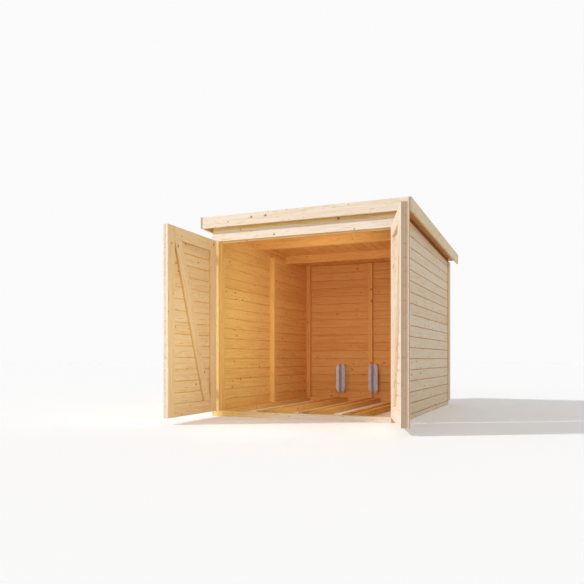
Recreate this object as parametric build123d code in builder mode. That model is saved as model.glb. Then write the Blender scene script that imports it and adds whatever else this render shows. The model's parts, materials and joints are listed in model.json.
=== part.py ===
from build123d import *
import os
from math import cos, radians, sin, tan

# Timber bike shelter with a low pent roof, double doors and three wheel tracks.
# Millimetres. X runs along the front, Y from the front to the back, Z up.
# The origin lies on the ground, at the middle of the front's face.

# Whole shelter
shed_width = 1600  # over the boards of the side walls
shed_depth = 2150  # from the front's face to the back boards' face
board = 18  # thickness of wall boards, roof boards and trim
stud = 45  # side of a post, stud or sole plate
soffit_height = 1615  # underside of the roof boards above the front's face
roof_fall = 2.17  # degrees, down to the back

# Front frame
jamb_width = 64.5
jamb_depth = 38
header_height = 96  # of the board between the lintel and the roof boards
lintel_height = 62
header_setback = 20  # the header board stands this far behind the lintel's face
stop_lap = 9.5  # the stops stand this far into the opening, at the sides and the head
stop_thickness = 20
top_plate_height = 70
sill_height = 42
sill_nose = 10  # the sill stands this far in front of the frame's face

# Roof
wall_top_gap = 45  # between the side boards' top and the roof boards
batten = 8  # thickness of the batten in that gap
stud_top_gap = 85  # the side studs end this far under the roof boards
back_stud_gap = 7  # and the back stud this far
purlin_height = 81
purlin_thickness = 45
purlin_places = (740, 1496)  # front faces of the two purlins
side_overhang = 89  # from the side boards to the bargeboards' face
front_overhang = 35  # from the lintel's face to the fascia's face
rear_overhang = 90  # from the back boards to the bargeboards' end
barge_height = 94
barge_upstand = 46  # the bargeboards' top edge above the roof boards' underside
rear_fascia_height = 30
felt = 3

# Inside
side_stud_place = 1130.5  # centre of the side studs
back_stud_place = -30  # centre of the back stud
track_places = (-350, 20, 390)  # centres of the wheel grooves
rail_width = 40
rail_height = 52
groove_width = 50

# Wheel holders of bent sheet
holder_bottom, holder_top = 108, 420
holder_gap = 44  # between the two cheeks
holder_reach = 100  # from the back boards to the cheeks' front
holder_sheet = 3
holder_bend = 5  # radius of the bends' centre line
flare_out, flare_forward = 28, 16  # the flared lips, beyond the cheeks
lip_slant = 42  # the lips are this much shorter at each end of their free edge

# Rear corner trims
trim_width = 60
trim_bottom = 43

# Door leaves
door_gap = 5  # round the leaves, between them and in front of the stops
leaf_proud = 5  # the closed leaves' outer face in front of the frame's face
leaf_frame = 20  # thickness of the stiles, rails and brace
frame_member = 95  # width of the stiles and rails
brace_width = 102  # measured along the rails
strip_thickness = 14
strip_lap = 22.5  # the meeting strip stands this far past the right leaf's edge
strip_cover = 25  # and covers this much of that leaf
left_open, right_open = 88.6, 109.1  # degrees from closed

# Strap hinges
pin_radius = 3.5
pin_play = 0.3
knuckle_radius = 6
strap_thickness = 3
strap_length = 300
strap_width = 30
strap_tip = 9  # radius of the strap's round end
middle_knuckle = 34
end_knuckle = 20
knuckle_gap = 1
plate_width = 20
plate_edge = 1.5  # from the plates to the jambs' outer edge
hinge_inset = 142.5  # from the leaf's ends to the hinges' centres

# Hasp and staple
hasp_sheet = 2
hasp_plate_length, hasp_plate_height = 45, 38
hasp_edge = 60  # from the left leaf's edge to the hasp's knuckle
hasp_knuckle = 3  # radius
hasp_strap_height = 30
hasp_end = 15  # from the slot to the strap's end
slot_play = 1.5
staple_plate_width, staple_plate_height = 24, 42
staple_reach, staple_height, staple_thickness = 19, 18, 4
staple_hole = 5  # radius

# Worked out from the above
half_width = shed_width / 2
inner_half = half_width - board
frame_half = inner_half - stud  # inner faces of the side studs and plates
half_opening = half_width - jamb_width
opening_top = soffit_height - header_height - lintel_height
stop_half = half_opening - stop_lap
stop_back = jamb_depth + stop_thickness
post_back = stop_back + stud
back_inner = shed_depth - board
back_frame = back_inner - stud
roof_half = half_width + side_overhang - board
roof_front = board - front_overhang
roof_back = shed_depth + rear_overhang
fall = tan(radians(roof_fall))
leaf_bottom = sill_height + door_gap
leaf_top = opening_top - door_gap
leaf_height = leaf_top - leaf_bottom
leaf_width = half_opening - 1.5 * door_gap
hinge_places = (leaf_bottom + hinge_inset, leaf_top - hinge_inset)
hasp_height = (leaf_bottom + leaf_top) / 2
pin_inset = jamb_width - plate_edge - plate_width - knuckle_radius  # from the opening to the pin
hinge_edge = pin_inset + door_gap  # from the pin to the leaf's hinge edge
free_edge = hinge_edge + leaf_width
face_depth = knuckle_radius  # the leaf's outer face behind the pin's centre
frame_depth = face_depth + board
pin_forward = leaf_proud + face_depth  # the pin in front of the frame's face

os.makedirs("parts", exist_ok=True)


def under_roof(y):
    # Height of the roof boards' underside at a distance from the front
    return soffit_height - y * fall


def sloped(y_front, y_back, low, high):
    # Corners in the YZ plane with both edges parallel to the roof, low and high from its underside
    return [
        (y_front, under_roof(y_front) + low),
        (y_back, under_roof(y_back) + low),
        (y_back, under_roof(y_back) + high),
        (y_front, under_roof(y_front) + high),
    ]


def upright(y_front, y_back, bottom, gap):
    # Corners in the YZ plane from a level bottom to a gap under the roof
    return [
        (y_front, bottom),
        (y_back, bottom),
        (y_back, under_roof(y_back) - gap),
        (y_front, under_roof(y_front) - gap),
    ]


# Front frame: sill, jambs, lintel and header board
with BuildPart() as front_sill:
    with BuildSketch():
        with Locations((0, (jamb_depth - sill_nose) / 2)):
            Rectangle(2 * half_opening, jamb_depth + sill_nose)
        with Locations((0, jamb_depth + stop_thickness / 2)):
            Rectangle(2 * stop_half, stop_thickness)
    extrude(amount=sill_height)
front_sill.part.label = "front_sill"
export_step(front_sill.part, "parts/front_sill.step")

for side, hand in ((-1, "left"), (1, "right")):
    with BuildPart() as jamb:
        with BuildSketch():
            with Locations((side * (half_opening + jamb_width / 2), jamb_depth / 2)):
                Rectangle(jamb_width, jamb_depth)
        extrude(amount=opening_top)
    jamb.part.label = f"{hand}_jamb"
    export_step(jamb.part, f"parts/{hand}_jamb.step")

with BuildPart() as front_lintel:
    with BuildSketch(Plane.XY.offset(opening_top)):
        with Locations((0, jamb_depth / 2)):
            Rectangle(shed_width, jamb_depth)
    extrude(amount=lintel_height)
front_lintel.part.label = "front_lintel"
export_step(front_lintel.part, "parts/front_lintel.step")

with BuildPart() as front_header:
    with BuildSketch(Plane.YZ):
        Polygon(*upright(header_setback, jamb_depth, opening_top + lintel_height, 0), align=None)
    extrude(amount=half_width, both=True)
front_header.part.label = "front_header"
export_step(front_header.part, "parts/front_header.step")

# Behind the frame: the head stop, two posts rebated to stop the leaves, and the top plate
head_stop_bottom = opening_top - stop_lap
with BuildPart() as head_stop:
    with BuildSketch(Plane.XY.offset(head_stop_bottom)):
        with Locations((0, jamb_depth + stop_thickness / 2)):
            Rectangle(2 * inner_half, stop_thickness)
    extrude(amount=lintel_height + stop_lap)
head_stop.part.label = "head_stop"
export_step(head_stop.part, "parts/head_stop.step")

plate_bottom = under_roof(post_back) - top_plate_height
with BuildPart() as front_top_plate:
    with BuildSketch(Plane.YZ):
        Polygon(*upright(stop_back, post_back, plate_bottom, 0), align=None)
    extrude(amount=inner_half, both=True)
front_top_plate.part.label = "front_top_plate"
export_step(front_top_plate.part, "parts/front_top_plate.step")

stop_width = inner_half - stop_half
post_width = inner_half - half_opening
for side, hand in ((-1, "left"), (1, "right")):
    with BuildPart() as front_post:
        with BuildSketch():
            with Locations((side * (inner_half - stop_width / 2), jamb_depth + stop_thickness / 2)):
                Rectangle(stop_width, stop_thickness)
        extrude(amount=head_stop_bottom)
        with BuildSketch():
            with Locations((side * (inner_half - post_width / 2), stop_back + stud / 2)):
                Rectangle(post_width, stud)
        extrude(amount=plate_bottom)
    front_post.part.label = f"{hand}_front_post"
    export_step(front_post.part, f"parts/{hand}_front_post.step")

# Walls: boards laid level, each wall one panel, with a batten between the side boards and the roof
for side, hand in ((-1, "left"), (1, "right")):
    with BuildPart() as wall:
        with BuildSketch(Plane.YZ.offset(side * inner_half)):
            Polygon(*upright(jamb_depth, back_inner, 0, wall_top_gap), align=None)
        extrude(amount=side * board)
    wall.part.label = f"{hand}_wall"
    export_step(wall.part, f"parts/{hand}_wall.step")

    with BuildPart() as wall_batten:
        with BuildSketch(Plane.YZ.offset(side * inner_half)):
            Polygon(*sloped(jamb_depth, back_inner, -wall_top_gap, 0), align=None)
        extrude(amount=side * batten)
    wall_batten.part.label = f"{hand}_wall_batten"
    export_step(wall_batten.part, f"parts/{hand}_wall_batten.step")

with BuildPart() as back_wall:
    with BuildSketch(Plane.YZ):
        Polygon(*upright(back_inner, shed_depth, 0, 0), align=None)
    extrude(amount=half_width, both=True)
back_wall.part.label = "back_wall"
export_step(back_wall.part, "parts/back_wall.step")

# Sole plates, studs and rear posts inside
sole_length = back_frame - post_back
for side, hand in ((-1, "left"), (1, "right")):
    with BuildPart() as sole_plate:
        with BuildSketch():
            with Locations((side * (frame_half + stud / 2), post_back + sole_length / 2)):
                Rectangle(stud, sole_length)
        extrude(amount=stud)
    sole_plate.part.label = f"{hand}_sole_plate"
    export_step(sole_plate.part, f"parts/{hand}_sole_plate.step")

    stud_front = side_stud_place - stud / 2
    with BuildPart() as side_stud:
        with BuildSketch(Plane.YZ.offset(side * frame_half)):
            Polygon(*upright(stud_front, stud_front + stud, stud, stud_top_gap), align=None)
        extrude(amount=side * stud)
    side_stud.part.label = f"{hand}_stud"
    export_step(side_stud.part, f"parts/{hand}_stud.step")

    with BuildPart() as rear_post:
        with BuildSketch(Plane.YZ.offset(side * frame_half)):
            Polygon(*upright(back_frame, back_inner, 0, 0), align=None)
        extrude(amount=side * stud)
    rear_post.part.label = f"{hand}_rear_post"
    export_step(rear_post.part, f"parts/{hand}_rear_post.step")

with BuildPart() as back_sole_plate:
    with BuildSketch():
        with Locations((0, back_frame + stud / 2)):
            Rectangle(2 * frame_half, stud)
    extrude(amount=stud)
back_sole_plate.part.label = "back_sole_plate"
export_step(back_sole_plate.part, "parts/back_sole_plate.step")

with BuildPart() as back_stud:
    with BuildSketch(Plane.YZ.offset(back_stud_place - stud / 2)):
        Polygon(*upright(back_frame, back_inner, stud, back_stud_gap), align=None)
    extrude(amount=stud)
back_stud.part.label = "back_stud"
export_step(back_stud.part, "parts/back_stud.step")

# Roof: purlins, boards, felt and the boards round its edge
for place, which in zip(purlin_places, ("front", "rear")):
    with BuildPart() as purlin:
        with BuildSketch(Plane.YZ):
            Polygon(*sloped(place, place + purlin_thickness, -purlin_height, 0), align=None)
        extrude(amount=inner_half, both=True)
    purlin.part.label = f"{which}_purlin"
    export_step(purlin.part, f"parts/{which}_purlin.step")

with BuildPart() as roof_deck:
    with BuildSketch(Plane.YZ):
        Polygon(*sloped(roof_front, roof_back - board, 0, board), align=None)
    extrude(amount=roof_half, both=True)
roof_deck.part.label = "roof_deck"
export_step(roof_deck.part, "parts/roof_deck.step")

with BuildPart() as roof_felt:
    with BuildSketch(Plane.YZ):
        Polygon(*sloped(roof_front, roof_back, board, board + felt), align=None)
    extrude(amount=roof_half, both=True)
roof_felt.part.label = "roof_felt"
export_step(roof_felt.part, "parts/roof_felt.step")

barge_bottom = barge_upstand - barge_height
with BuildPart() as front_fascia:
    with BuildSketch(Plane.YZ):
        Polygon(*sloped(-front_overhang, roof_front, barge_bottom, barge_upstand), align=None)
    extrude(amount=roof_half, both=True)
front_fascia.part.label = "front_fascia"
export_step(front_fascia.part, "parts/front_fascia.step")

with BuildPart() as rear_fascia:
    with BuildSketch(Plane.YZ):
        Polygon(*sloped(roof_back - board, roof_back, board - rear_fascia_height, board), align=None)
    extrude(amount=roof_half, both=True)
rear_fascia.part.label = "rear_fascia"
export_step(rear_fascia.part, "parts/rear_fascia.step")

for side, hand in ((-1, "left"), (1, "right")):
    with BuildPart() as bargeboard:
        with BuildSketch(Plane.YZ.offset(side * roof_half)):
            Polygon(*sloped(-front_overhang, roof_back, barge_bottom, barge_upstand), align=None)
        extrude(amount=side * board)
    bargeboard.part.label = f"{hand}_bargeboard"
    export_step(bargeboard.part, f"parts/{hand}_bargeboard.step")

# Trims over the rear corners, an angle of two boards each
trim_top = under_roof(shed_depth + board) - wall_top_gap
for side, hand in ((-1, "left"), (1, "right")):
    with BuildPart() as trim:
        with BuildSketch(Plane.XY.offset(trim_bottom)):
            Polygon(
                (side * half_width, shed_depth - trim_width),
                (side * (half_width + board), shed_depth - trim_width),
                (side * (half_width + board), shed_depth + board),
                (side * (half_width - trim_width), shed_depth + board),
                (side * (half_width - trim_width), shed_depth),
                (side * half_width, shed_depth),
                align=None,
            )
        extrude(amount=trim_top - trim_bottom)
    trim.part.label = f"{hand}_corner_trim"
    export_step(trim.part, f"parts/{hand}_corner_trim.step")

# Wheel tracks: a pair of rails with a groove between them, from the sill to the back sole plate
track_names = ("left", "middle", "right")
rail_length = back_frame - stop_back
for place, which in zip(track_places, track_names):
    with BuildPart() as track:
        with BuildSketch():
            with Locations((place, stop_back + rail_length / 2)):
                with GridLocations(groove_width + rail_width, 0, 2, 1):
                    Rectangle(rail_width, rail_length)
        extrude(amount=rail_height)
    track.part.label = f"{which}_wheel_track"
    export_step(track.part, f"parts/{which}_wheel_track.step")

# Wheel holders: a channel of bent sheet on the back boards, its lips flared to lead the wheel in
cheek = (holder_gap + holder_sheet) / 2  # from the middle to the centre of a cheek
holder_front = back_inner - holder_reach
lip_end = cheek + flare_out
for place, which in zip(track_places, track_names):
    with BuildPart() as holder:
        with BuildSketch(Plane.XY.offset(holder_bottom)):
            with BuildLine():
                FilletPolyline(
                    (place - lip_end, holder_front - flare_forward),
                    (place - cheek, holder_front),
                    (place - cheek, back_inner - holder_sheet / 2),
                    (place + cheek, back_inner - holder_sheet / 2),
                    (place + cheek, holder_front),
                    (place + lip_end, holder_front - flare_forward),
                    radius=holder_bend,
                )
            trace(line_width=holder_sheet)
        extrude(amount=holder_top - holder_bottom)
        with BuildSketch(Plane.XZ.offset(-holder_front - holder_bend)):
            for side in (-1, 1):
                for edge, turn in ((holder_bottom, 1), (holder_top, -1)):
                    Polygon(
                        (place + side * (cheek + holder_bend), edge),
                        (place + side * (lip_end + holder_sheet), edge),
                        (place + side * (lip_end + holder_sheet), edge + turn * lip_slant),
                        align=None,
                    )
        extrude(amount=flare_forward + 2 * holder_bend + holder_sheet, mode=Mode.SUBTRACT)
    holder.part.label = f"{which}_wheel_holder"
    export_step(holder.part, f"parts/{which}_wheel_holder.step")

# Hinge plates on the jambs, with their end knuckles and pins
knuckle_reach = middle_knuckle / 2 + knuckle_gap + end_knuckle
for side, hand in ((-1, "left"), (1, "right")):
    pin_x = side * (half_opening + pin_inset)
    with BuildPart() as hinge_plates:
        for height in hinge_places:
            with BuildSketch(Plane.XY.offset(height - knuckle_reach)):
                with Locations((pin_x + side * (knuckle_radius + plate_width / 2), -strap_thickness / 2)):
                    Rectangle(plate_width, strap_thickness)
            extrude(amount=2 * knuckle_reach)
            for low in (-knuckle_reach, middle_knuckle / 2 + knuckle_gap):
                with BuildSketch(Plane.XY.offset(height + low)):
                    with Locations((pin_x, -pin_forward)):
                        Circle(knuckle_radius)
                    with Locations((pin_x + side * knuckle_radius, -pin_forward / 2)):
                        Rectangle(strap_thickness, pin_forward)
                extrude(amount=end_knuckle)
            with BuildSketch(Plane.XY.offset(height - knuckle_reach)):
                with Locations((pin_x, -pin_forward)):
                    Circle(pin_radius)
            extrude(amount=2 * knuckle_reach)
    hinge_plates.part.label = f"{hand}_hinge_plates"
    export_step(hinge_plates.part, f"parts/{hand}_hinge_plates.step")

# Door leaves: boards outside, stiles, rails and a brace inside, drawn from the pin along the leaf.
# A depth is measured from the pin's centre towards the inside of the closed shelter.
up = Vector(0, 0, 1)
leaf_middle = (hinge_edge + free_edge) / 2
for side, hand, angle in ((-1, "left", left_open), (1, "right", right_open)):
    pin = Vector(side * (half_opening + pin_inset), -pin_forward)
    along = Vector(-side * cos(radians(angle)), -sin(radians(angle)))
    inward = up.cross(along) * -side
    plan = Plane(origin=pin, x_dir=along, z_dir=up)
    boards_face = Plane(origin=pin + inward * face_depth, x_dir=along, z_dir=along.cross(up))
    frame_face = Plane(origin=pin + inward * frame_depth, x_dir=along, z_dir=along.cross(up))

    with BuildPart() as leaf_boards:
        with BuildSketch(boards_face):
            with Locations((leaf_middle, leaf_bottom + leaf_height / 2)):
                Rectangle(leaf_width, leaf_height)
        extrude(amount=side * board)
    leaf_boards.part.label = f"{hand}_leaf_boards"
    export_step(leaf_boards.part, f"parts/{hand}_leaf_boards.step")

    with BuildPart() as leaf_stiles:
        with BuildSketch(frame_face):
            with Locations((leaf_middle, leaf_bottom + leaf_height / 2)):
                with GridLocations(leaf_width - frame_member, 0, 2, 1):
                    Rectangle(frame_member, leaf_height)
        extrude(amount=side * leaf_frame)
    leaf_stiles.part.label = f"{hand}_leaf_stiles"
    export_step(leaf_stiles.part, f"parts/{hand}_leaf_stiles.step")

    with BuildPart() as leaf_rails:
        with BuildSketch(frame_face):
            with Locations((leaf_middle, leaf_bottom + leaf_height / 2)):
                with GridLocations(0, leaf_height - frame_member, 1, 2):
                    Rectangle(leaf_width - 2 * frame_member, frame_member)
        extrude(amount=side * leaf_frame)
    leaf_rails.part.label = f"{hand}_leaf_rails"
    export_step(leaf_rails.part, f"parts/{hand}_leaf_rails.step")

    with BuildPart() as leaf_brace:
        with BuildSketch(frame_face):
            Polygon(
                (hinge_edge + frame_member, leaf_bottom + frame_member),
                (hinge_edge + frame_member + brace_width, leaf_bottom + frame_member),
                (free_edge - frame_member, leaf_top - frame_member),
                (free_edge - frame_member - brace_width, leaf_top - frame_member),
                align=None,
            )
        extrude(amount=side * leaf_frame)
    leaf_brace.part.label = f"{hand}_leaf_brace"
    export_step(leaf_brace.part, f"parts/{hand}_leaf_brace.step")

    with BuildPart() as leaf_straps:
        with BuildSketch(boards_face):
            for height in hinge_places:
                Polygon(
                    (0, height - strap_width / 2),
                    (strap_length - strap_tip, height - strap_tip),
                    (strap_length - strap_tip, height + strap_tip),
                    (0, height + strap_width / 2),
                    align=None,
                )
                with Locations((strap_length - strap_tip, height)):
                    Circle(strap_tip)
        extrude(amount=-side * strap_thickness)
        for height in hinge_places:
            with BuildSketch(plan.offset(height - middle_knuckle / 2)):
                Circle(knuckle_radius)
            extrude(amount=middle_knuckle)
            with BuildSketch(plan.offset(height - middle_knuckle / 2)):
                Circle(pin_radius + pin_play)
            extrude(amount=middle_knuckle, mode=Mode.SUBTRACT)
    leaf_straps.part.label = f"{hand}_leaf_straps"
    export_step(leaf_straps.part, f"parts/{hand}_leaf_straps.step")

    if hand == "left":
        # Hasp folded back on its own leaf
        knuckle_place = free_edge - hasp_edge
        slot_place = hasp_edge + door_gap
        hasp_plane = boards_face.offset(-side * hasp_sheet)
        with BuildPart() as hasp:
            with BuildSketch(boards_face):
                with Locations((knuckle_place - hasp_plate_length / 2, hasp_height)):
                    Rectangle(hasp_plate_length, hasp_plate_height)
            extrude(amount=-side * hasp_sheet)
            with BuildSketch(hasp_plane):
                with Locations((knuckle_place - (slot_place + hasp_end) / 2, hasp_height)):
                    Rectangle(slot_place + hasp_end, hasp_strap_height)
                with Locations((knuckle_place - slot_place, hasp_height)):
                    Rectangle(
                        staple_thickness + 2 * slot_play,
                        staple_height + 2 * slot_play,
                        mode=Mode.SUBTRACT,
                    )
            extrude(amount=-side * hasp_sheet)
            with BuildSketch(plan.offset(hasp_height - hasp_plate_height / 2)):
                with Locations((knuckle_place, -side * (face_depth - hasp_knuckle))):
                    Circle(hasp_knuckle)
            extrude(amount=hasp_plate_height)
        hasp.part.label = "hasp"
        export_step(hasp.part, "parts/hasp.step")
    else:
        # Strip that covers the joint of the two leaves, rebated to clear the left one
        with BuildPart() as meeting_strip:
            with BuildSketch(plan.offset(leaf_bottom)):
                Polygon(
                    (free_edge - strip_cover, -side * face_depth),
                    (free_edge - strip_cover, -side * (face_depth - strip_thickness)),
                    (free_edge + strip_lap, -side * (face_depth - strip_thickness)),
                    (free_edge + strip_lap, -side * (face_depth - door_gap)),
                    (free_edge, -side * (face_depth - door_gap)),
                    (free_edge, -side * face_depth),
                    align=None,
                )
            extrude(amount=leaf_height)
        meeting_strip.part.label = "meeting_strip"
        export_step(meeting_strip.part, "parts/meeting_strip.step")

        # Staple for a padlock, a plate on the strip with an upright eye
        strip_face = boards_face.offset(-side * strip_thickness)
        strip_front = face_depth - strip_thickness
        eye_middle = strip_front - staple_reach + staple_height / 2
        eye_plane = Plane(origin=pin + along * free_edge + up * hasp_height, x_dir=inward, z_dir=along)
        with BuildPart() as staple:
            with BuildSketch(strip_face):
                with Locations((free_edge, hasp_height)):
                    Rectangle(staple_plate_width, staple_plate_height)
            extrude(amount=-side * hasp_sheet)
            with BuildSketch(eye_plane):
                with Locations((eye_middle, 0)):
                    Circle(staple_height / 2)
                with Locations(((eye_middle + strip_front) / 2, 0)):
                    Rectangle(strip_front - eye_middle, staple_height)
                with Locations((eye_middle, 0)):
                    Circle(staple_hole, mode=Mode.SUBTRACT)
            extrude(amount=staple_thickness / 2, both=True)
        staple.part.label = "staple"
        export_step(staple.part, "parts/staple.step")
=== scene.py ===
import json
from functools import partial
from math import cos, pi, radians, sin, tan

import bpy
import numpy as np
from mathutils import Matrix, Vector

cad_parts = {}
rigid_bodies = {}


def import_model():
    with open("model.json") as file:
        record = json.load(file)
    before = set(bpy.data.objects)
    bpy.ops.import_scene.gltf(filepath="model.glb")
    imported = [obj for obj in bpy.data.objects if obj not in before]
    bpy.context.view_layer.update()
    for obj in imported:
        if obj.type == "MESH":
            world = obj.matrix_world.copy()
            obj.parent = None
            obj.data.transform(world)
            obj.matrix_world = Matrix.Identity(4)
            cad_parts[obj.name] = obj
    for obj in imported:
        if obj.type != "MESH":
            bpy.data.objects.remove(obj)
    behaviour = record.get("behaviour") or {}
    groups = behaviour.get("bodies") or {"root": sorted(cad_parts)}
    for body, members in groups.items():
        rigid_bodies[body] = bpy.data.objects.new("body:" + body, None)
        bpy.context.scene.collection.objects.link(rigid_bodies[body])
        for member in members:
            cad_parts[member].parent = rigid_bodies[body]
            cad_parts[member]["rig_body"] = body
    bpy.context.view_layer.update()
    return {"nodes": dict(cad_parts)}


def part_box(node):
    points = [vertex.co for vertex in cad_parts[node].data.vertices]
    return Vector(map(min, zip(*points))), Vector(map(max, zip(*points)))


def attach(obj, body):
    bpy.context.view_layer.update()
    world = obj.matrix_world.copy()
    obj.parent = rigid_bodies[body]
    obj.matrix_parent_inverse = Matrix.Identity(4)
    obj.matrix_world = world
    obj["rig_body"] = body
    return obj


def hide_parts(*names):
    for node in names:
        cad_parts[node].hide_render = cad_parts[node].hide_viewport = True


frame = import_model()
nodes = frame["nodes"]
chance = np.random.default_rng(20)

# Metres. X runs along the front, Y from the front to the back, Z up.
shelter = {
    "halfWidth": 0.800,      # over the side boards
    "depth": 2.150,          # to the back boards' outer face
    "board": 0.018,          # thickness of wall, leaf and roof boards
    "soffit": 1.615,         # underside of the roof boards at the front's face
    "fall": tan(radians(2.17)),
    "wallFront": 0.038,      # where the side boards begin, behind the jambs
    "wallGap": 0.045,        # between the side boards and the roof boards
    "leftOpen": radians(88.6),
    "rightOpen": radians(109.1),
    "pin": (0.7725, -0.011),  # of the hinges, right side
    "leafFace": 0.006,       # the leaf's outer face behind the pin
    "leafEdges": (0.042, 0.770),
    "leafHeights": (0.047, 1.452),
}


def underRoof(y):
    # height of the roof boards' underside above the ground
    return shelter["soffit"] - y * shelter["fall"]


# Materials

# the property of a node that the second word of its kind sets
modes = {
    "Math": "operation",
    "VectorMath": "operation",
    "MapRange": "interpolation_type",
    "Mix": "data_type",
    "TexVoronoi": "voronoi_dimensions",
}


def linear(hexColour):
    # sRGB hex to linear red, green, blue, alpha
    value = np.array([int(hexColour[i:i + 2], 16) for i in (1, 3, 5)]) / 255
    low, high = value / 12.92, ((value + 0.055) / 1.055) ** 2.4
    return (*np.where(value <= 0.04045, low, high), 1.0)


def addNode(tree, kind, *values, get=None, **named):
    # one node, such as "Math ADD". The values go into the sockets in use, in their order. A name that starts
    # with a capital is a socket's, and any other is a property's. A value that is another node's output is
    # linked. What comes back is the output called get, or else the first one in use.
    kind, *mode = kind.split()
    node = tree.nodes.new("ShaderNode" + kind)
    if mode:
        setattr(node, modes[kind], mode[0])
    filled = list(zip([socket for socket in node.inputs if socket.enabled], values))
    for name, value in named.items():
        if name[0].isupper():
            filled.append((node.inputs[name.replace("_", " ")], value))
        else:
            setattr(node, name, value)
    for socket, value in filled:
        if isinstance(value, bpy.types.NodeSocket):
            tree.links.new(value, socket)
        else:
            socket.default_value = value
    inUse = [socket for socket in node.outputs if socket.enabled]
    if get:
        return node.outputs[get]
    return inUse[0] if inUse else None


def newMaterial(name):
    # an empty material, and addNode for its tree
    material = bpy.data.materials.new(name)
    material.use_nodes = True
    material.node_tree.nodes.clear()
    return material, partial(addNode, material.node_tree)


# Spruce, planed and unfinished: pale, with darker summer wood in long flame lines, short resin dashes,
# small brown knots that the lines bend round, matt, with a faint sheen on the planed faces
# Warm bounce light and shade are painted into its colour, from the pale outside to the deep orange inside
spruce = {
    # painted light and shade: sunlit outside, golden bounce light by the doorway, deep orange shade inside, dark
    # shade in narrow gaps
    "pale": ("#F9EBDC", "#F5D27E", "#F7BC70", "#B36E2A"),
    "dark": ("#E9CEA6", "#E0A955", "#DC903F", "#8A5019"),
    "paintedShadeSteps": (0.0, 0.5, 1.0, 1.5),  # the painted shade number at those four
    # grey-brown of sawn ends, also painted shade on the right leaf's free edge
    "sawnOrShadedWood": "#B0967A",
    "knot": "#8A5325",
    "knotRing": "#C58544",
    "knotCell": (0.17, 0.060),  # one knot at most in each, along and across
    "knotShape": 0.75,       # a knot's width over its length
    "knotRadius": (0.0018, 0.0068),
    "knotShare": 0.42,       # of the cells with a knot
    "ringSpacing": 0.0075,   # real rings are 2 to 3 mm apart, drawn wider so that they show
    "ringPush": 0.006,       # by a knot
    "ringBend": 0.05,
    # waves per metre along, across and through the board
    "bends": (1.3, 7, 7),
    "fibres": (14, 330, 330),  # real ones are a few tenths of a millimetre wide, drawn 3 mm wide
    "streaks": (2.6, 60, 60),
    "dashes": (13, 210, 90),  # about 5 by 60 mm
    # how much of the dark shade each brings
    "summerDark": 0.26,
    "streakDark": 0.40,
    "fibreDark": 0.45,
    "boardDark": 0.16,
    # how much of its own colour each brings
    "dashColour": 0.6,
    "sawnOrShadedColour": 0.8,
    "haloColour": 0.45,
    "knotColour": 0.9,
    "roughness": 0.50,
    "fibreRoughness": 0.16,
    "endRoughness": 0.2,
    "relief": 0.0004,
}


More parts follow.
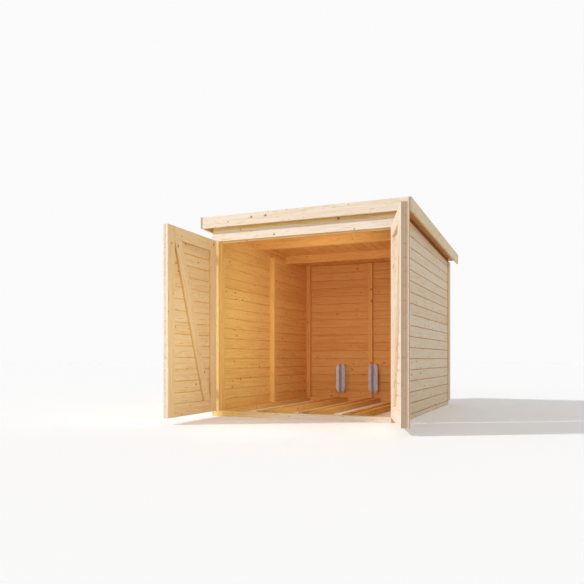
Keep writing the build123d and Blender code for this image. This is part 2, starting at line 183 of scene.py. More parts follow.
def makeSpruce():
    material, add = newMaterial("planedSpruce")
    grain = add("Attribute", attribute_name="grain", get="Vector")
    tone = add("Attribute", attribute_name="tone", get="Fac")
    paintedShade = add("Attribute", attribute_name="paintedShade", get="Fac")
    sawnOrShaded = add("Attribute", attribute_name="sawnOrShaded", get="Fac")

    # knots: each cell of a Voronoi pattern may hold one, but not on sawn ends or on faces greyed as painted shade
    length, width = spruce["knotCell"]
    flat = add("VectorMath MULTIPLY", grain, (1 / length, 1 / width, 0))
    cells = add("TexVoronoi 2D", Vector=flat, Scale=1.0, Randomness=0.9).node
    away = add("VectorMath SUBTRACT", flat, cells.outputs["Position"])
    away = add("VectorMath MULTIPLY", away, (length * spruce["knotShape"], width, 0))
    dice = add("SeparateColor", cells.outputs["Color"]).node
    present = add("Math LESS_THAN", dice.outputs[0], spruce["knotShare"])
    present = add("Math MULTIPLY", present, add("Math LESS_THAN", sawnOrShaded, 0.1))
    low, high = spruce["knotRadius"]
    size = add("Math MULTIPLY", dice.outputs[1], dice.outputs[1])
    radius = add("Math MULTIPLY_ADD", size, high - low, low)
    reach = add("Math DIVIDE", add("VectorMath LENGTH", away), radius)
    knot = add("Math MULTIPLY", add("MapRange SMOOTHSTEP", reach, 0.75, 1.15, 1.0, 0.0), present)
    halo = add("Math MULTIPLY", add("MapRange SMOOTHSTEP", reach, 0.9, 2.6, 1.0, 0.0), present)

    # year rings: distance from the pith, bent by slow noise and pushed aside by the knots
    slow = add("TexNoise", Vector=add("VectorMath MULTIPLY", grain, spruce["bends"]), Scale=1.0, Detail=2.0,
               Roughness=0.45, get="Color")
    bend = add("VectorMath SUBTRACT", slow, (0.5, 0.5, 0.5))
    bend = add("VectorMath MULTIPLY", bend, (0, spruce["ringBend"], spruce["ringBend"]))
    bent = add("VectorMath MULTIPLY", add("VectorMath ADD", grain, bend), (0, 1, 1))
    fromPith = add("Math MULTIPLY_ADD", halo, spruce["ringPush"], add("VectorMath LENGTH", bent))
    rings = add("Math FRACT", add("Math DIVIDE", fromPith, spruce["ringSpacing"]))
    summer = add("Math MULTIPLY", add("MapRange SMOOTHSTEP", rings, 0.25, 0.82),
                 add("MapRange SMOOTHSTEP", rings, 0.9, 1.0, 1.0, 0.0))

    fibres = add("TexNoise", Vector=add("VectorMath MULTIPLY", grain, spruce["fibres"]), Scale=1.0, Detail=2.0)
    streaks = add("TexNoise", Vector=add("VectorMath MULTIPLY", grain, spruce["streaks"]), Scale=1.0, Detail=3.0,
                  Roughness=0.6)
    resin = add("TexNoise", Vector=add("VectorMath MULTIPLY", grain, spruce["dashes"]), Scale=1.0, Detail=1.0)
    dashes = add("MapRange SMOOTHSTEP", resin, 0.655, 0.74)

    dark = add("Math MULTIPLY", summer, spruce["summerDark"])
    dark = add("Math MULTIPLY_ADD", add("MapRange SMOOTHSTEP", streaks, 0.40, 0.72), spruce["streakDark"], dark)
    dark = add("Math MULTIPLY_ADD", add("Math SUBTRACT", fibres, 0.5), spruce["fibreDark"], dark)
    dark = add("Math MULTIPLY_ADD", tone, spruce["boardDark"], dark, use_clamp=True)
    # painted shade: the pale and dark grain colours step to golden, orange and brown as the painted shade number
    # rises
    steps = spruce["paintedShadeSteps"]
    steps = [add("MapRange SMOOTHSTEP", paintedShade, low, high) for low, high in zip(steps[:-1], steps[1:])]
    shades = []
    for first, *others in (spruce["pale"], spruce["dark"]):
        shade = linear(first)
        for step, other in zip(steps, others):
            shade = add("Mix RGBA", step, shade, linear(other))
        shades.append(shade)
    colour = add("Mix RGBA", dark, *shades)
    for amount, share, own in ((dashes, "dashColour", "knotRing"), (sawnOrShaded, "sawnOrShadedColour", "sawnOrShadedWood"),
                               (halo, "haloColour", "knotRing"), (knot, "knotColour", "knot")):
        amount = add("Math MULTIPLY", amount, spruce[share])
        colour = add("Mix RGBA", amount, colour, linear(spruce[own]))

    rough = add("Math MULTIPLY_ADD", fibres, spruce["fibreRoughness"], spruce["roughness"])
    rough = add("Math MULTIPLY_ADD", sawnOrShaded, spruce["endRoughness"], rough)
    height = add("Math MULTIPLY_ADD", summer, 0.5, fibres)
    height = add("Math MULTIPLY_ADD", knot, 0.6, height)
    bump = add("Bump", Strength=0.35, Distance=spruce["relief"], Height=height)
    add("OutputMaterial", add("BsdfPrincipled", Base_Color=colour, Roughness=rough, Normal=bump, IOR=1.5,
                              Specular_IOR_Level=0.35))
    return material


# Steel sheet, hot-dip galvanised: cool grey tinted pale lavender as painted reflection of the sky, faint crystals
# of some 8 mm, soft reflections
# Steel fittings, zinc plated: brighter and smoother, with fine wear
zinc = {
    "crystal": 0.009,
    "wear": 260.0,           # waves per metre, so scratches of some 4 mm
    "patches": 26.0,
    "relief": 0.0003,
    "plated": {"colours": ("#C9CCD2", "#A6AAB2"), "roughness": 0.30, "crystals": 0.0, "metallic": 1.0},
    # a pale lavender base that paints in the sky's reflection
    "dippedWithPaintedSky": {"colours": ("#EEECF8", "#D0CBDD"), "roughness": 0.40, "crystals": 0.5, "metallic": 0.15},
}


def makeZinc(name, colours, roughness, crystals, metallic):
    material, add = newMaterial(name)
    place = add("TexCoord", get="Object")
    cells = add("TexVoronoi", Vector=place, Scale=1 / zinc["crystal"], Randomness=1.0, get="Color")
    wear = add("TexNoise", Vector=place, Scale=zinc["wear"], Detail=4.0, Roughness=0.65)
    patch = add("TexNoise", Vector=place, Scale=zinc["patches"], Detail=3.0)
    amount = add("Math MULTIPLY", add("SeparateColor", cells), crystals)
    amount = add("Math MULTIPLY_ADD", add("MapRange SMOOTHSTEP", patch, 0.4, 0.7), 0.35, amount, use_clamp=True)
    colour = add("Mix RGBA", amount, *map(linear, colours))
    rough = add("Math MULTIPLY_ADD", wear, 0.16, roughness - 0.08)
    rough = add("Math MULTIPLY_ADD", amount, 0.10, rough)
    bump = add("Bump", Strength=0.12, Distance=zinc["relief"], Height=wear)
    add("OutputMaterial", add("BsdfPrincipled", Base_Color=colour, Roughness=rough, Normal=bump,
                              Metallic=metallic))
    return material


# Bitumen roofing felt with crushed slate pressed into it: dark blue-grey, grainy, dull
felt = {
    "slate": "#4B4F53",
    "slatePale": "#6C7074",
    "bitumen": "#2A2B2D",
    "granule": 0.0035,       # real granules are 1 to 2 mm, drawn larger so that they show
    "clouds": 5.0,           # waves per metre
    "relief": 0.0012,
    "roughness": 0.9,
    "frontLength": 0.34,     # from the front edge to the first lap
    "rollWidth": 1.0,
    "overlap": 0.08,
    "thickness": 0.003,
    "lapStep": 0.0024,       # rise of a length over the one below it
    "lapSlope": 0.01,
    "wave": 0.0003,
    "points": (60, 24),      # across and along each length
}


def makeFelt():
    material, add = newMaterial("slatedFelt")
    place = add("TexCoord", get="Object")
    cells = add("TexVoronoi", Vector=place, Scale=1 / felt["granule"], Randomness=1.0).node
    shade = add("SeparateColor", cells.outputs["Color"])
    cloud = add("TexNoise", Vector=place, Scale=felt["clouds"], Detail=5.0, Roughness=0.6)
    slate, slatePale = linear(felt["slate"]), linear(felt["slatePale"])
    colour = add("Mix RGBA", add("MapRange SMOOTHSTEP", shade, 0.1, 0.95), slate, slatePale)
    bare = add("MapRange SMOOTHSTEP", cells.outputs["Distance"], 0.35, 0.75)
    colour = add("Mix RGBA", add("Math MULTIPLY", bare, 0.7), colour, linear(felt["bitumen"]))
    colour = add("Mix RGBA", add("MapRange SMOOTHSTEP", cloud, 0.35, 0.75, 0.0, 0.3), colour, slatePale)
    height = add("Math SUBTRACT", 1.0, cells.outputs["Distance"])
    bump = add("Bump", Strength=0.7, Distance=felt["relief"], Height=height)
    add("OutputMaterial", add("BsdfPrincipled", Base_Color=colour, Roughness=felt["roughness"], Normal=bump))
    return material


planedSpruce = makeSpruce()
zincPlated = makeZinc("zincPlatedSteel", **zinc["plated"])
galvanisedSheet = makeZinc("galvanisedSheet", **zinc["dippedWithPaintedSky"])
slatedFelt = makeFelt()
print("materials made")


# Meshes

def newPiece(name, corners, faces, material, body, replaced):
    mesh = bpy.data.meshes.new(name)
    mesh.from_pydata(corners.reshape(-1, 3).tolist(), [], faces)
    piece = bpy.data.objects.new(name, mesh)
    bpy.context.scene.collection.objects.link(piece)
    mesh.materials.append(material)
    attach(piece, body)
    if replaced:
        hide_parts(*replaced)
    return piece


def storeNumbers(mesh, name, kind, domain, values):
    layer = mesh.attributes.new(name, kind, domain)
    key = "vector" if kind == "FLOAT_VECTOR" else "value"
    layer.data.foreach_set(key, np.asarray(values, np.float32).ravel())


def readNumbers(items, key, width=1, kind=np.float32):
    # one property of all of a mesh's vertices, edges or faces, a row for each
    values = np.zeros(len(items) * width, kind)
    items.foreach_get(key, values)
    return values.reshape(-1, width) if width > 1 else values


def bodyOf(node):
    return nodes[node]["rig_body"]


# Tongued boards. The section runs round the board: a flat face, a bevel down to the joint, a shadow gap,
# the tongue or groove in the middle, and the same on the other face.
boards = {
    "pitch": 0.088,
    "firstJoint": 0.038,
    "least": 0.012,          # no joint is nearer than this to an edge
    "sliver": 0.0012,        # a board's cut corner isn't lower than this
    "bevel": 0.0032,
    "gap": 0.0013,           # half the shadow gap
    "core": 0.0060,          # how deep the shadow gap is
    "softEdge": 0.0006,
    "fullHeight": 0.016,     # a lower board has smaller bevels
    "smallest": 0.03,        # share of them that is left on the lowest
    # the soft edge of the sawn ends: its length, its share of the thickness, what it takes off the height,
    # and the height under which that is less
    "end": (0.0007, 0.93, 0.0012, 0.004),
    # painted shade in the grooves: added to the face's, and at least so much on the outer and the inner face
    "grooveShade": (0.3, 1.3, 0.3),
    # painted light and shade on the outer and on the inner face, each at the boards' first and last end
    "shades": {
        "side": ((0.18, 0.18), (0.5, 0.95)), "back": ((0.12, 0.12), (1, 1)), "roof": ((0.85, 1.05), (0.5, 0.5)),
        "leftLeaf": ((0, 0), (0.3, 0.3)), "rightLeaf": ((0, 0), (0, 0)),
    },
    "leafEnds": {"left": 0.12, "right": 1.0},  # how rough and grey they are; the right leaf's ends greyed as painted shade
}


def boardSection():
    # points round the section: whether it lies in the groove, depth from the outer face, 0 for the lower or
    # 1 for the upper edge, and the distance from that edge into the board
    thickness = shelter["board"]
    bevel, gap, core, soft = (boards[key] for key in ("bevel", "gap", "core", "softEdge"))
    half = [(0, gap + bevel), (soft * 0.4, gap + bevel - soft), (bevel, gap), (core, gap), (core, 0),
            (thickness - core, 0), (thickness - core, gap), (thickness - bevel, gap),
            (thickness - soft * 0.4, gap + bevel - soft), (thickness, gap + bevel)]
    depth, inset = np.array(half).T
    inGroove = (depth > bevel * 0.9) & (depth < thickness - bevel * 0.9)
    return (np.append(inGroove, inGroove[::-1]), np.append(depth, depth[::-1]), np.repeat([0.0, 1.0], len(half)),
            np.append(inset, -inset[::-1]))


def carrySection(depth, upper, inset, low, tops):
    # depth and height of the section's points at each station: height = low + upper * tall + inset,
    # with both ends of the board drawn in a little
    tall = (tops - low)[:, None]
    height = low + upper * tall + inset * np.clip(tall / boards["fullHeight"], boards["smallest"], 1.0)
    wide = np.repeat(depth[None], len(tops), 0)
    middle = shelter["board"] / 2
    _, share, less, short = boards["end"]
    for end in (0, -1):
        wide[end] = middle + (wide[end] - middle) * share
        centre = low + tall[end] / 2
        height[end] = centre + (height[end] - centre) * (1 - less / max(tall[end, 0], short))
    return wide, height


def tubeFaces(rings, points, base):
    # quads between the rings, and a cap on the first and the last one
    ring = np.arange(points)
    start = base + np.arange(rings - 1)[:, None] * points
    a, b = start + ring, start + (ring + 1) % points
    quads = np.stack([a, b, b + points, a + points], -1).reshape(-1, 4)
    return quads.tolist(), [(base + ring[::-1]).tolist(), (base + (rings - 1) * points + ring).tolist()]


def layBoards(name, joints, stations, topAt, axes, body, replaced, paintedShadePairs, sawnOrShadedEnds=1.0):
    # board n between joints n and n+1 is the section carried along the stations:
    # point = origin + along * station + inward * depth + upward * height, these four being the axes,
    # and each board's upper edge is the lower of its joint and the line topAt(station).
    # Two pairs give the painted shade, for the outer and the inner face, at the first and last station.
    # The last argument is how rough and grey the boards' ends are, grey also as painted shade.
    inGroove, depth, upper, inset = boardSection()
    origin, along, inward, upward = (np.array(axis, float) for axis in axes)
    points, sliver, soft = len(inGroove), boards["sliver"], boards["end"][0]
    corners, faces, grain, tone, paintedShade, sawnOrShaded = [], [], [], [], [], []
    base = 0
    for low, high in zip(joints[:-1], joints[1:]):
        ends = stations[topAt(stations) > low + sliver]
        if len(ends) < len(stations):
            ends = np.append(ends, np.interp(low + sliver, topAt(stations)[::-1], stations[::-1]))
        path = np.unique(np.round([*ends, ends[0] + soft, ends[-1] - soft], 6))
        wide, height = carrySection(depth, upper, inset, low, np.minimum(high, topAt(path)))
        place = origin + along * path[:, None, None] + inward * wide[..., None] + upward * height[..., None]
        corners.append(place.reshape(-1, 3))
        quads, caps = tubeFaces(len(path), points, base)
        base += len(path) * points
        faces += quads + caps
        sawnOrShaded += [0.0] * len(quads) + [sawnOrShadedEnds] * len(caps)
        pith = chance.uniform(-0.03, 0.03), chance.choice([-1, 1]) * chance.uniform(0.035, 0.11)
        start = chance.uniform(0, 40)
        grain.append(np.stack([np.repeat(path[:, None], points, 1) + start, height - low + pith[0],
                               wide + pith[1]], -1).reshape(-1, 3))
        tone.append(np.full(len(path) * points, chance.uniform(-1, 1)))
        run = ((path - stations[0]) / (stations[-1] - stations[0]))[:, None]
        outerShade, innerShade = (first + (last - first) * run for first, last in paintedShadePairs)
        paintedShade.append((outerShade + (innerShade - outerShade) * wide / shelter["board"]).ravel())
    if np.dot(np.cross(inward, upward), along) < 0:
        faces = [face[::-1] for face in faces]
    piece = newPiece(name, np.concatenate(corners), faces, planedSpruce, body, replaced)
    storeNumbers(piece.data, "grain", "FLOAT_VECTOR", "POINT", np.concatenate(grain))
    storeNumbers(piece.data, "tone", "FLOAT", "POINT", np.concatenate(tone))
    plain = np.concatenate(paintedShade)
    # painted shade in the grooves, darker than the faces beside them
    more, outerLeast, innerLeast = boards["grooveShade"]
    least = np.resize(np.where(depth < shelter["board"] / 2, outerLeast, innerLeast), len(plain))
    hidden = np.where(np.resize(inGroove, len(plain)), np.maximum(plain + more, least), plain)
    onEnd = np.repeat(sawnOrShaded, [len(face) for face in faces]) > 0
    corner = np.concatenate(faces)
    storeNumbers(piece.data, "paintedShade", "FLOAT", "CORNER", np.where(onEnd, plain[corner], hidden[corner]))
    storeNumbers(piece.data, "sawnOrShaded", "FLOAT", "FACE", sawnOrShaded)


def jointsBetween(low, high, first):
    # the lower edge, every joint between, and the upper edge
    inner = np.arange(first, high - boards["least"], boards["pitch"])
    return np.array([low, *inner[inner > low + boards["least"]], high])


def level(height):
    # a straight upper edge
    return lambda stations: np.full(np.shape(stations), height)


def layWalls():
    half, depth = shelter["halfWidth"], shelter["depth"]
    front, back = shelter["wallFront"], depth - shelter["board"]
    sideTop = lambda y: underRoof(y) - shelter["wallGap"]
    joints = jointsBetween(0.0, sideTop(front) + 0.001, boards["firstJoint"])
    crossings = [(shelter["soffit"] - shelter["wallGap"] - z) / shelter["fall"] for z in joints]
    stations = np.array(sorted([front, back, *[c for c in crossings if front < c < back]]))
    for side, hand in ((-1, "left"), (1, "right")):
        axes = (side * half, 0, 0), (0, 1, 0), (-side, 0, 0), (0, 0, 1)
        layBoards(hand + "_wall_boards", joints, stations, sideTop, axes, "shelter", [hand + "_wall"],
                  boards["shades"]["side"])
    joints = jointsBetween(0.0, underRoof(depth), boards["firstJoint"])
    axes = (0, depth, 0), (1, 0, 0), (0, -1, 0), (0, 0, 1)
    layBoards("back_wall_boards", joints, np.array([-half, half]), level(underRoof(depth)), axes, "shelter",
              ["back_wall"], boards["shades"]["back"])


def layRoof():
    # roof boards run from the front to the back, so the section's height is X and its depth is Z
    low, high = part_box("roof_deck")
    joints = jointsBetween(-high.x, high.x, -high.x + 0.5 * boards["pitch"])
    axes = (0, 0, shelter["soffit"]), (0, 1, -shelter["fall"]), (0, 0, 1), (1, 0, 0)
    layBoards("roof_boards", joints, np.array([low.y, high.y]), level(high.x), axes, "shelter", ["roof_deck"],
              boards["shades"]["roof"])


def leafDirections(side):
    # the leaf's pin, along the leaf from it, and from its outer face to its inner face
    angle = shelter["leftOpen"] if side < 0 else shelter["rightOpen"]
    along = np.array([-side * cos(angle), -sin(angle), 0])
    inward = np.cross([0, 0, 1], along) * -side
    pin = np.array([side * shelter["pin"][0], shelter["pin"][1], 0])
    return pin, along, inward


def layLeaves():
    low, high = shelter["leafHeights"]
    joints = jointsBetween(low, high, low + boards["pitch"])
    for side, hand in ((-1, "left"), (1, "right")):
        pin, along, inward = leafDirections(side)
        axes = pin + inward * shelter["leafFace"], along, inward, (0, 0, 1)
        shades, ends = boards["shades"][hand + "Leaf"], boards["leafEnds"][hand]
        layBoards(hand + "_leaf_planks", joints, np.array(shelter["leafEdges"]), level(high), axes,
                  hand + "_door", [hand + "_leaf_boards"], shades, ends)


layWalls()
layRoof()
layLeaves()
print("tongued boards laid")


# Planed bars: the CAD solid's own corners, merged into one closed skin, with its edges rounded
bars = {
    "weld": 0.00002,
    "flatWithin": radians(1),
    "edgeRadius": 0.0018,
    "segments": 2,
    "edgeBand": 0.003,       # a face this near to the leaf's end is its edge
}
# painted light and shade in the wood's colour: 0 for the pale sunlit outside, 0.5 for the golden bounce light by
# the doorway, 1 for the deep orange shade inside; three values are those at the lowest and the highest place
# along an axis, and the axis
paintedShadeOf = {
    # the sill paler to the right, where the painted shadow of the open left leaf ends; the jambs darker towards
    # the opening as painted shade
    "front_sill": (0.5, -0.3, "x"), "left_jamb": (0.1, 0.75, "x"), "right_jamb": (0.75, 0.1, "x"),
    # the header darker towards its top as painted shade under the fascia
    "front_lintel": 0.0, "front_header": (0.0, 1.0, "z"), "head_stop": 0.3, "front_top_plate": 0.8,
    "left_front_post": 0.45, "right_front_post": 0.35, "left_wall_batten": (0.6, 1, "y"),
    "right_wall_batten": (0.6, 1, "y"), "left_sole_plate": 0.75, "right_sole_plate": 0.75, "back_sole_plate": 1,
    "left_stud": 0.75, "right_stud": 0.75, "left_rear_post": 0.95, "right_rear_post": 0.95, "back_stud": 1,
    "front_purlin": 0.8, "rear_purlin": 0.9, "front_fascia": 0, "rear_fascia": 0.1, "left_bargeboard": 0.1,
    "right_bargeboard": 0.22, "left_corner_trim": 0.15, "right_corner_trim": 0.2,
    "left_wheel_track": (0.6, 0.9, "y"), "middle_wheel_track": (0.6, 0.9, "y"),
    "right_wheel_track": (0.6, 0.9, "y"), "left_leaf_stiles": 0.3, "left_leaf_rails": 0.3, "left_leaf_brace": 0.3,
    "right_leaf_stiles": 0.0, "right_leaf_rails": 0.0, "right_leaf_brace": 0.0, "meeting_strip": 0.1,
}
# painted light and shade for single faces
paintedShadeOfFace = {
    "leafEdge": 0,           # a leaf's two long edges, as pale as its outside
    "leafFrameEdge": 0.7,    # of the left leaf's stiles, rails and brace: painted shade along their edges, a little browner than their faces
    # painted bounce light and shade on the jambs' fronts and under the lintel
    "jambFront": 0.38,
    "lintelUnderside": 0.4,
    "bargeboardInner": 0.8,  # golden where it is lit only from below
    "battenOuter": 1.5,      # in a shaded gap
}
# how rough and grey a face is: sawn ends, and painted shade on the right leaf's free edge and along the left
# leaf's frame edges
sawnOrShadedOfFace = {"end": 1.0, "rightLeafEdge": 1.0, "leafFrameEdge": 0.5}


def mergedSkin(node):
    # the node's triangles with shared corners, flat faces joined, and soft edges
    copy = bpy.data.objects.new(node + "_copy", nodes[node].data.copy())
    bpy.context.scene.collection.objects.link(copy)
    weld = copy.modifiers.new("weld", "WELD")
    weld.merge_threshold = bars["weld"]
    flat = copy.modifiers.new("flat", "DECIMATE")
    flat.decimate_type = "DISSOLVE"
    flat.angle_limit = bars["flatWithin"]
    soft = copy.modifiers.new("soft", "BEVEL")
    soft.width = bars["edgeRadius"]
    soft.segments = bars["segments"]
    soft.limit_method = "ANGLE"
    skin = bpy.data.meshes.new_from_object(copy.evaluated_get(bpy.context.evaluated_depsgraph_get()))
    bpy.data.objects.remove(copy)
    return skin


def islandNumbers(links, count):
    # number of the separate body that each corner belongs to, spread along the edges
    label = np.arange(count)
    while True:
        lowest = np.minimum(label[links[:, 0]], label[links[:, 1]])
        spread = label.copy()
        np.minimum.at(spread, links[:, 0], lowest)
        np.minimum.at(spread, links[:, 1], lowest)
        if np.array_equal(spread, label):
            return np.unique(label, return_inverse=True)[1]
        label = spread


def grainBars(mesh, place, normals):
    # the grain runs along the longest edge, and the thickness is where the widest long face looks;
    # place in the grain = place from the bar's own middle along, across and through it, from a random start
    links = readNumbers(mesh.edges, "vertices", 2, np.int32)
    runs = place[links[:, 1]] - place[links[:, 0]]
    along = runs[np.argmax((runs ** 2).sum(1))]
    along /= np.linalg.norm(along)
    sideways = np.abs(normals @ along) < 0.02
    thin = normals[sideways][np.argmax(readNumbers(mesh.polygons, "area")[sideways])]
    thin -= along * (thin @ along)
    thin /= np.linalg.norm(thin)
    island = islandNumbers(links, len(place))
    pieces = island.max() + 1
    local = np.stack([place @ along, place @ np.cross(thin, along), place @ thin], -1)
    for number in range(pieces):
        own = island == number
        local[own] -= (local[own].min(0) + local[own].max(0)) / 2
    start = np.stack([chance.uniform(0, 40, pieces), chance.uniform(-0.02, 0.02, pieces),
                      chance.choice([-1, 1], pieces) * chance.uniform(0.03, 0.09, pieces)], -1)
    storeNumbers(mesh, "grain", "FLOAT_VECTOR", "POINT", local + start[island])
    storeNumbers(mesh, "tone", "FLOAT", "POINT", chance.uniform(-1, 1, pieces)[island])
    return along


def shadeBars(node, mesh, place, normals, along):
    # the painted shade at each face's corners, and how sawn or greyed as painted shade each face is; a face looks
    # a certain way where the cosine between its normal and that way passes a bound
    shade = paintedShadeOf[node]
    first, last, axis = shade if isinstance(shade, tuple) else (shade, shade, "x")
    run = place[:, "xyz".index(axis)]
    paintedShade = first + (last - first) * (run - run.min()) / (run.max() - run.min())
    sawnOrShaded = np.where(np.abs(normals @ along) > 0.6, sawnOrShadedOfFace["end"], 0.0)
    sizes = readNumbers(mesh.polygons, "loop_total", 1, np.int32)
    corner = readNumbers(mesh.loops, "vertex_index", 1, np.int32)
    paintedShade = paintedShade[corner]
    facing = {"front": -normals[:, 1], "down": -normals[:, 2], "outer": normals[:, 0] * np.sign(place[0, 0])}
    facing = {way: np.repeat(amount, sizes) for way, amount in facing.items()}
    if bodyOf(node) != "shelter":
        pin, alongLeaf, inward = leafDirections(-1 if bodyOf(node) == "left_door" else 1)
        reach = (readNumbers(mesh.polygons, "center", 3) - pin) @ alongLeaf
        near, far = shelter["leafEdges"]
        onEdge = np.abs(normals @ alongLeaf) > 0.9
        onEdge &= (reach < near + bars["edgeBand"]) | (reach > far - bars["edgeBand"])
        paintedShade[np.repeat(onEdge, sizes)] = paintedShadeOfFace["leafEdge"]
        # the right leaf's free edge greyed as painted shade
        if bodyOf(node) == "right_door":
            sawnOrShaded[onEdge] = sawnOrShadedOfFace["rightLeafEdge"]
        else:
            # painted shade along the left leaf's frame edges
            frameEdge = (np.abs(normals @ inward) < 0.3) & ~onEdge & (sawnOrShaded == 0)
            paintedShade[np.repeat(frameEdge, sizes)] = paintedShadeOfFace["leafFrameEdge"]
            sawnOrShaded[frameEdge] = sawnOrShadedOfFace["leafFrameEdge"]
    elif node.endswith("_jamb"):
        paintedShade[facing["front"] > 0.9] = paintedShadeOfFace["jambFront"]
    elif node == "front_lintel":
        paintedShade[facing["down"] > 0.9] = paintedShadeOfFace["lintelUnderside"]
    elif node.endswith("_bargeboard"):
        underDeck = place[corner, 2] < underRoof(place[corner, 1])
        paintedShade[(facing["outer"] < -0.5) & underDeck] = paintedShadeOfFace["bargeboardInner"]
    elif node.endswith("_batten"):
        paintedShade[facing["outer"] > 0.5] = paintedShadeOfFace["battenOuter"]
    storeNumbers(mesh, "paintedShade", "FLOAT", "CORNER", paintedShade)
    storeNumbers(mesh, "sawnOrShaded", "FLOAT", "FACE", sawnOrShaded)


def planedBar(node):
    mesh = mergedSkin(node)
    mesh.name = node + "_timber"
    place = readNumbers(mesh.vertices, "co", 3).astype(float)
    normals = readNumbers(mesh.polygons, "normal", 3).astype(float)
    along = grainBars(mesh, place, normals)
    shadeBars(node, mesh, place, normals, along)
    mesh.materials.clear()
    mesh.materials.append(planedSpruce)
    piece = bpy.data.objects.new(node + "_timber", mesh)
    bpy.context.scene.collection.objects.link(piece)
    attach(piece, bodyOf(node))
    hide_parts(node)


for node in paintedShadeOf:
    planedBar(node)
print("planed bars rounded")


# Roofing felt: lengths laid across the slope, each upper one lapping over the one below it
def layFelt():
    # underside = the roof boards' upper side + a short rise onto the lap,
    # and the upper side = underside + thickness + a faint wave
    low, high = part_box("roof_felt")
    lap, slope, thickness = felt["overlap"], felt["lapSlope"], felt["thickness"]
    firstLap = low.y + felt["frontLength"]
    breaks = [low.y, firstLap, firstLap + felt["rollWidth"] - lap, high.y]
    n, m = felt["points"]
    index = np.arange(n * m).reshape(n, m)
    a, b, c, d = index[:-1, :-1], index[1:, :-1], index[1:, 1:], index[:-1, 1:]
    rim = np.concatenate([index[:, 0], index[-1, 1:], index[-2::-1, -1], index[0, -2:0:-1]])
    nextRim = np.roll(rim, -1)
    quads = np.concatenate([np.stack([a, b, c, d], -1).reshape(-1, 4),
                            np.stack([a, d, c, b], -1).reshape(-1, 4) + n * m,
                            np.stack([rim + n * m, nextRim + n * m, nextRim, rim], -1)])
    corners, faces = [], []
    for number, (start, end) in enumerate(zip(breaks[:-1], breaks[1:])):
        y = np.linspace(start, end + (lap if number < 2 else 0.0), m)
        gridX, gridY = np.meshgrid(np.linspace(low.x, high.x, n), y, indexing="ij")
        rise = felt["lapStep"] * np.clip((gridY - end + slope) / slope, 0, 1)
        wave = felt["wave"] * np.sin(gridX * 9 + number) * np.sin(gridY * 13)
        surface = underRoof(gridY) + shelter["board"] + rise
        upper = np.stack([gridX, gridY, surface + thickness + wave], -1)
        lower = np.stack([gridX, gridY, surface], -1)
        corners += [upper.reshape(-1, 3), lower.reshape(-1, 3)]
        faces += (quads + 2 * n * m * number).tolist()
    newPiece("felt_lengths", np.concatenate(corners), faces, slatedFelt, "shelter", ["roof_felt"])


layFelt()
print("felt laid")


# Fittings: the CAD solids are right, and get their finish here
for node, piece in nodes.items():
    if node in paintedShadeOf or node in ("roof_felt", "roof_deck") or node.endswith(("_wall", "_leaf_boards")):
        continue
    for slot in piece.material_slots:
        slot.link = "OBJECT"
        slot.material = galvanisedSheet if "holder" in node else zincPlated

# Heads of bolts and screws: a profile turned round its axis; a screw's recess is a six-lobed star
fixings = {
    "around": 24,            # points round a head
    "boltRadius": 0.0085,
    "boltHeight": 0.0042,
    "screwRadius": 0.0038,
    "screwHeight": 0.0014,
    "starRadius": 0.0017,
    "starDepth": 0.0013,
    "lobes": 0.16,           # of the star's radius
    "sunk": 0.0006,          # the head goes on this far under the surface
    "sharpFrom": radians(40),
}


def headGrid(radius, height, star, starDepth):
    # rings from the middle outwards, each with a radius, a height and 1 where it follows the star:
    # radius = ring's radius * (1 + lobes * cos 6t). A screw's dome is height * (1 - (r / radius)²),
    # and a bolt's is a quarter of a round
    turn = np.arange(fixings["around"]) * 2 * pi / fixings["around"]
    if star:
        bottom = height - starDepth
        r = star + (radius - star) * np.linspace(0, 1, 5)
        dome = height * (1 - (r / radius) ** 2)
        rings = [(star * 0.1, bottom, 0), (star, bottom, 1), (star, dome[0], 1), *zip(r[1:], dome[1:], [0] * 4)]
    else:
        rings = [(radius * sin(t), height * cos(t), 0) for t in np.linspace(0.08, pi / 2, 7)]
    rings.append((radius * 0.98, -fixings["sunk"], 0))
    r, z, lobed = np.array(rings).T[..., None]
    r = r * (1 + fixings["lobes"] * np.cos(6 * turn) * lobed)
    return np.stack([r * np.cos(turn), r * np.sin(turn), z + 0 * turn], -1)


def setHeads(name, places, outward, body, radius, height, star=0.0, starDepth=0.0):
    grid = headGrid(radius, height, star, starDepth)
    rows, around = grid.shape[:2]
    outward = np.array(outward, float) / np.linalg.norm(outward)
    sideways = np.cross(outward, [0, 0, 1])
    sideways /= np.linalg.norm(sideways)
    upward = np.cross(outward, sideways)
    turned = []
    for place in places:
        angle = chance.uniform(0, pi)
        first = sideways * cos(angle) + upward * sin(angle)
        second = np.cross(outward, first)
        turned.append(np.array(place) + grid[..., :1] * first + grid[..., 1:2] * second + grid[..., 2:] * outward)
    index = np.arange(rows * around).reshape(rows, around)
    a, b = index[:-1], index[1:]
    quads = np.stack([a, b, np.roll(b, -1, 1), np.roll(a, -1, 1)], -1).reshape(-1, 4)
    faces = []
    for number in range(len(places)):
        base = number * rows * around
        faces += (quads + base).tolist()
        faces += [(index[0] + base).tolist(), (index[-1][::-1] + base).tolist()]
    piece = newPiece(name, np.stack(turned), faces, zincPlated, body, [])
    piece.data.set_sharp_from_angle(angle=fixings["sharpFrom"])
    piece.data.shade_smooth()


hinges = {
    "heights": (0.1895, 1.3095),
    "strap": 0.003,          # thickness
    "strapBolts": (0.060, 0.150, 0.262),  # from the pin
    # how far outside the pin, the plate's face, and how far above and below the hinge's middle
    "plateScrews": (0.016, -0.003, 0.026),
}
holders = {
    "places": {"left": -0.350, "middle": 0.020, "right": 0.390},
    "sheet": 0.003,
    "screws": (0.17, 0.264, 0.358),
    "screwSize": 1.3,        # of the plates' screws
}


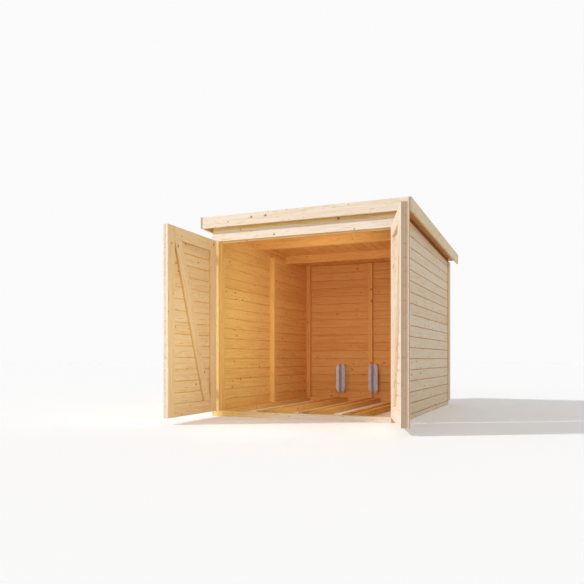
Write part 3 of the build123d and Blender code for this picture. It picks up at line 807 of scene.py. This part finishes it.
def setFixings():
    bolt = fixings["boltRadius"], fixings["boltHeight"]
    height, star = fixings["screwHeight"], (fixings["starRadius"], fixings["starDepth"])
    outside, face, apart = hinges["plateScrews"]
    for side, hand in ((-1, "left"), (1, "right")):
        pin, along, inward = leafDirections(side)
        strapFace = pin + inward * (shelter["leafFace"] - hinges["strap"])
        bolts = [strapFace + along * fromPin + np.array([0, 0, z])
                 for z in hinges["heights"] for fromPin in hinges["strapBolts"]]
        setHeads(hand + "_strap_bolts", bolts, -inward, hand + "_door", *bolt)
        x = side * (shelter["pin"][0] + outside)
        screws = [(x, face, z + d) for z in hinges["heights"] for d in (-apart, apart)]
        setHeads(hand + "_plate_screws", screws, (0, -1, 0), "shelter", fixings["screwRadius"], height, *star)
    back = shelter["depth"] - shelter["board"] - holders["sheet"]
    radius = fixings["screwRadius"] * holders["screwSize"]
    for which, place in holders["places"].items():
        screws = [(place, back, z) for z in holders["screws"]]
        setHeads(which + "_holder_screws", screws, (0, -1, 0), "shelter", radius, height, *star)


setFixings()
print("bolts and screws set")

# Camera, light and floor
camera = {
    "place": (1.896, -4.609, 0.479),
    "turn": 23.11,
    "lens": 38.93,
    "sensor": 36,
    "shift": 0.114,
    "farthest": 200,
}
light = {
    # far lamps: strength, angle across, height and side, in degrees, the side from straight in front to the right
    "far": {
        "softSun": (1.75, 4, 36, -59.5),
        "frontFill": (0.42, 50, 8, -8),
    },
    "distance": 6,
    # soft panels that the camera doesn't see: place, target, width and height, spread, power
    "panels": {
        "insideFill": ((0.26, 0.17, 0.84), (-0.52, 1.40, 0.84), (0.3, 0.8), 150, 4.1),
        "leafFill": ((0.60, -1.40, 0.68), (-0.80, -0.28, 0.68), (0.6, 1.0), 80, 2.1),
    },
    "world": 0.54,
    "background": 0.96,
}
ground = {
    "radius": 60,
    "sides": 64,
    "bounce": 0.80,          # its grey where it only lights the shelter
    "glow": 0.06,            # seen by the camera alone, so that the floor meets the background
    "roughness": 0.9,
    "gloss": 0.1,
}


def setCamera():
    data = bpy.data.cameras.new("photoView")
    data.lens = camera["lens"]
    data.sensor_width = camera["sensor"]
    data.shift_y = camera["shift"]
    data.clip_end = camera["farthest"]
    eye = bpy.data.objects.new("photoView", data)
    eye.location = camera["place"]
    eye.rotation_euler = (radians(90), 0, radians(camera["turn"]))
    bpy.context.scene.collection.objects.link(eye)
    bpy.context.scene.camera = eye


def setLamp(name, lamp, place, backwards):
    # a lamp that shines against the direction backwards
    piece = bpy.data.objects.new(name, lamp)
    piece.location = place
    piece.rotation_euler = backwards.to_track_quat("Z", "Y").to_euler()
    bpy.context.scene.collection.objects.link(piece)
    return piece


def setLamps():
    for name, (strength, *degrees) in light["far"].items():
        across, height, side = (radians(angle) for angle in degrees)
        sun = bpy.data.lights.new(name, "SUN")
        sun.energy = strength
        sun.angle = across
        toSun = Vector((cos(height) * sin(side), -cos(height) * cos(side), sin(height)))
        setLamp(name, sun, toSun * light["distance"], toSun)
    for name, (place, target, size, spread, power) in light["panels"].items():
        panel = bpy.data.lights.new(name, "AREA")
        panel.shape = "RECTANGLE"
        panel.size, panel.size_y = size
        panel.spread = radians(spread)
        panel.energy = power
        setLamp(name, panel, place, Vector(place) - Vector(target)).visible_camera = False


def seenDirectly(add):
    # 1 where the camera sees the backdrop, also in metal, and 0 where it only lights the shelter
    path = add("LightPath").node.outputs
    seen = add("Math MAXIMUM", path["Is Camera Ray"], path["Is Glossy Ray"])
    return add("Math MAXIMUM", seen, path["Is Transmission Ray"])


def setWorld():
    world = bpy.data.worlds.new("studio")
    bpy.context.scene.world = world
    world.use_nodes = True
    world.node_tree.nodes.clear()
    add = partial(addNode, world.node_tree)
    strength = add("Math MULTIPLY_ADD", seenDirectly(add), light["background"] - light["world"], light["world"])
    add("OutputWorld", add("Background", (1, 1, 1, 1), strength))


def setFloor():
    material, add = newMaterial("paleFloor")
    seen = seenDirectly(add)
    colour = add("Mix RGBA", seen, (*[ground["bounce"]] * 3, 1), (1, 1, 1, 1))
    glow = add("Math MULTIPLY", seen, ground["glow"])
    add("OutputMaterial", add("BsdfPrincipled", Base_Color=colour, Roughness=ground["roughness"],
                              Specular_IOR_Level=ground["gloss"], Emission_Color=(1, 1, 1, 1),
                              Emission_Strength=glow))
    turn = np.linspace(0, 2 * pi, ground["sides"] + 1)[:-1]
    ring = np.stack([ground["radius"] * np.cos(turn), ground["radius"] * np.sin(turn), 0 * turn], -1)
    mesh = bpy.data.meshes.new("floor")
    mesh.from_pydata(ring.tolist(), [], [list(range(ground["sides"]))])
    mesh.materials.append(material)
    floor = bpy.data.objects.new("floor", mesh)
    bpy.context.scene.collection.objects.link(floor)


setCamera()
setLamps()
setWorld()
setFloor()
bpy.context.scene.view_settings.view_transform = "Standard"
print("camera, light and floor set")
